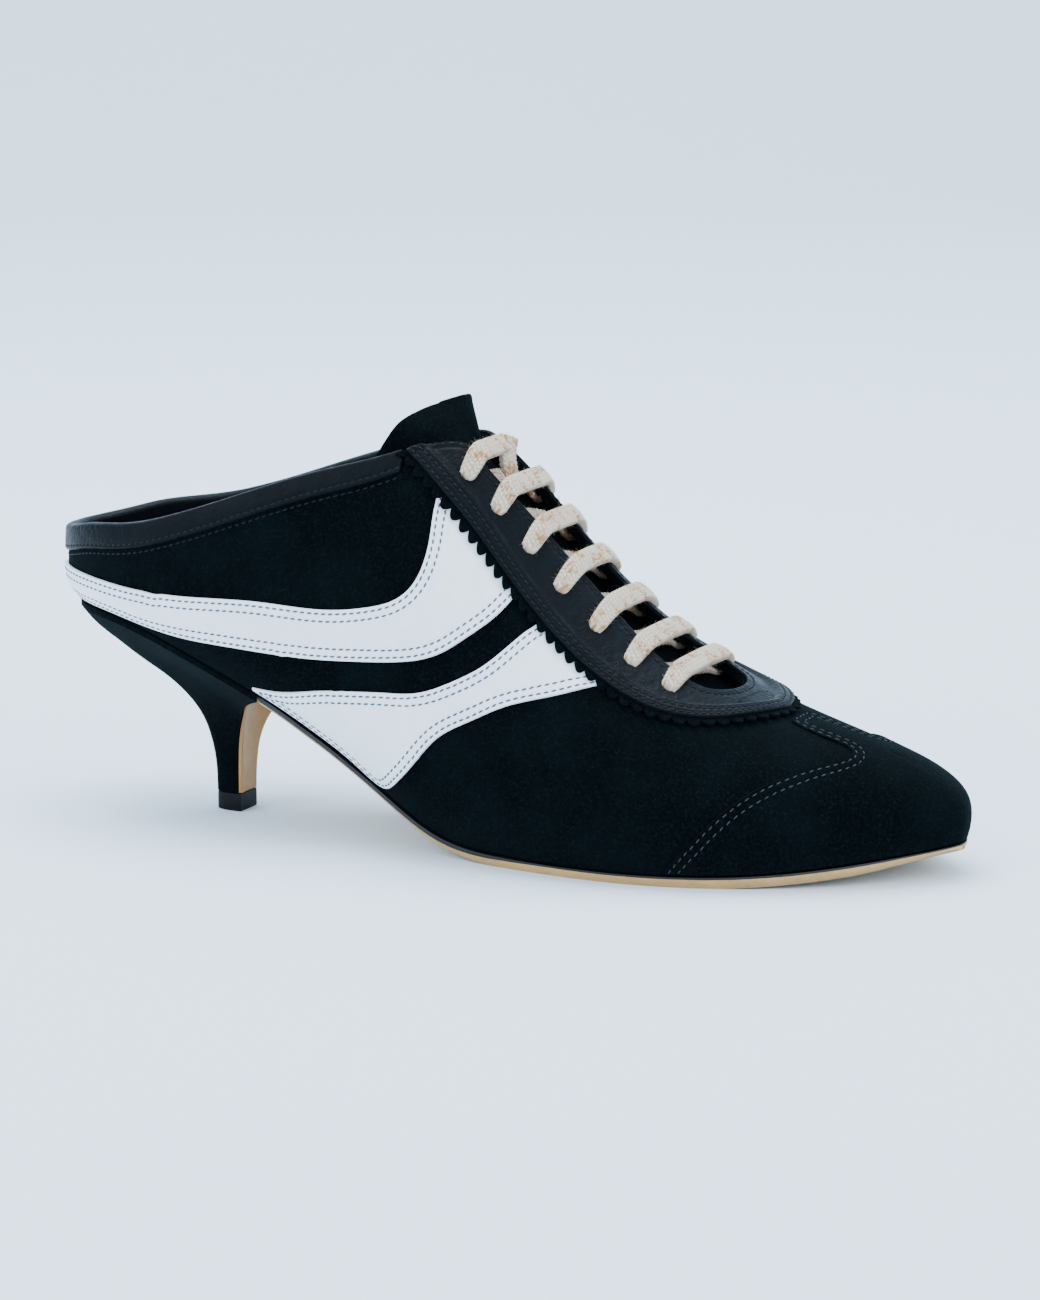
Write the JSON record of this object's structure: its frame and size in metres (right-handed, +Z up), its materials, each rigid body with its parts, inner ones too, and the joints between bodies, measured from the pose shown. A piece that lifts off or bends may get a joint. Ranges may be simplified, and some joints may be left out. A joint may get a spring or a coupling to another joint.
{
  "type": "heeled mule",
  "caption": "Right heeled mule: suede lace-up upper with white side bands, pinked facing, pointed toe cap, open back and a slim curved heel.",
  "frame": {"origin": "centre of the whole shoe in plan, on the floor it stands on", "axes": "+X from the heel to the toe, +Y from the outer side to the inner side, +Z up from the floor"},
  "size_m": [0.2424, 0.0818, 0.1055],
  "materials": {
    "suede": "black suede with a short nap",
    "smooth_leather": "black smooth leather, satin",
    "white_leather": "white smooth leather, satin",
    "lining_leather": "black smooth lining leather",
    "sole_leather": "tan sole leather, waxed",
    "heel_rubber": "matte",
    "lace_cotton": "flat woven cotton braid"
  },
  "bodies": {
    "root": {"upper": "suede", "toe_cap": "suede", "stripe_upper": "white_leather", "stripe_lower_outer": "white_leather", "stripe_lower_inner": "white_leather", "topline_binding": "smooth_leather", "pinked_trim": "suede", "eyestay": "smooth_leather", "tongue": "suede", "insole": "lining_leather", "outsole": "sole_leather", "heel": "suede", "heel_breast_cover": "sole_leather", "heel_tip": "heel_rubber", "lace_bar_1": "lace_cotton", "lace_bar_2": "lace_cotton", "lace_bar_3": "lace_cotton", "lace_bar_4": "lace_cotton", "lace_bar_5": "lace_cotton", "lace_bar_6": "lace_cotton", "lace_bar_7": "lace_cotton"}
  },
  "joints": []
}
